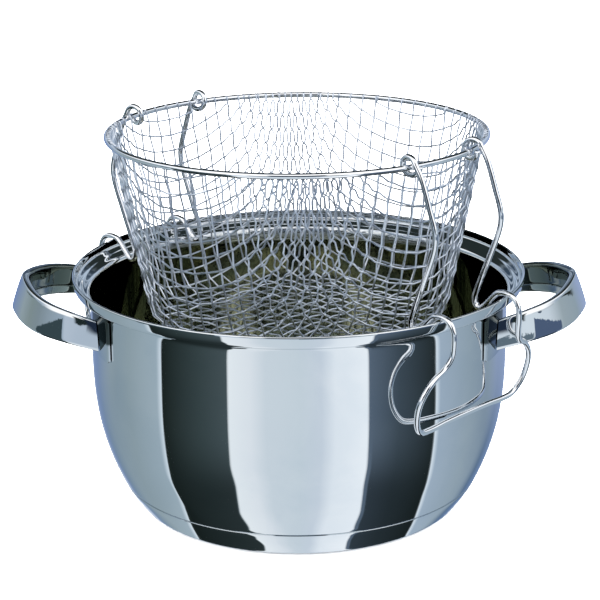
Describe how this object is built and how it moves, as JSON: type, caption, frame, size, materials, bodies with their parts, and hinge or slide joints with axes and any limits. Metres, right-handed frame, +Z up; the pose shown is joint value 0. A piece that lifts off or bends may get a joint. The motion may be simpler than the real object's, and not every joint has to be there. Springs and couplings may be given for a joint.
{
  "type": "deep fryer",
  "caption": "Round steel stove-top frying pot with side handles and a lift-out wire mesh basket that hangs from the pot's rim by hooked wire handles.",
  "frame": {"origin": "centre of the base's underside, on the plane the pot stands on", "axes": "+Z up; +X through the pot's right side handle; the front of the object faces -Y"},
  "size_m": [0.3194, 0.25, 0.2159],
  "materials": {
    "pot_body": "mirror-polished stainless steel sheet",
    "base_cap": "mirror-polished stainless steel base cap",
    "base_core_disc": "aluminium heat-spreading disc, sealed in the base",
    "right_handle_shell": "mirror-polished pressed stainless steel",
    "right_handle_strip": "polished stainless steel closing strip",
    "right_front_foot": "polished stainless steel plate, spot-welded",
    "right_rear_foot": "polished stainless steel plate, spot-welded",
    "left_handle_shell": "mirror-polished pressed stainless steel",
    "left_handle_strip": "polished stainless steel closing strip",
    "left_front_foot": "polished stainless steel plate, spot-welded",
    "left_rear_foot": "polished stainless steel plate, spot-welded",
    "basket_rim_ring": "chromed steel wire ring",
    "basket_mesh": "tinned steel wire, plain-woven square mesh drawn into a basket",
    "right_basket_handle": "chromed steel wire",
    "left_basket_handle": "chromed steel wire"
  },
  "bodies": {
    "pot": {"pot_body": "pot_body", "base_cap": "base_cap", "base_core_disc": "base_core_disc", "right_handle_shell": "right_handle_shell", "right_handle_strip": "right_handle_strip", "right_front_foot": "right_front_foot", "right_rear_foot": "right_rear_foot", "left_handle_shell": "left_handle_shell", "left_handle_strip": "left_handle_strip", "left_front_foot": "left_front_foot", "left_rear_foot": "left_rear_foot"},
    "basket": {"basket_rim_ring": "basket_rim_ring", "basket_mesh": "basket_mesh"},
    "right_wire_handle": {"right_basket_handle": "right_basket_handle"},
    "left_wire_handle": {"left_basket_handle": "left_basket_handle"}
  },
  "joints": [
    {"name": "basket_lift", "type": "slide", "parent": "pot", "child": "basket", "axis": [0, 0, 1], "range_m": [0, 0.22]},
    {"name": "right_handle_swing", "type": "hinge", "parent": "basket", "child": "right_wire_handle", "pos_m": [0.07495, -0.06516, 0.2096], "axis": [-0.6561, -0.7547, 0], "range_deg": [0, 122]},
    {"name": "left_handle_swing", "type": "hinge", "parent": "basket", "child": "left_wire_handle", "pos_m": [-0.07563, 0.06437, 0.2096], "axis": [0.6481, 0.7615, 0], "range_deg": [0, 122]}
  ],
  "couplings": [
    {"joint": "right_handle_swing", "follows": "basket_lift", "rad_per_m": 9.6},
    {"joint": "left_handle_swing", "follows": "basket_lift", "rad_per_m": 9.6}
  ]
}
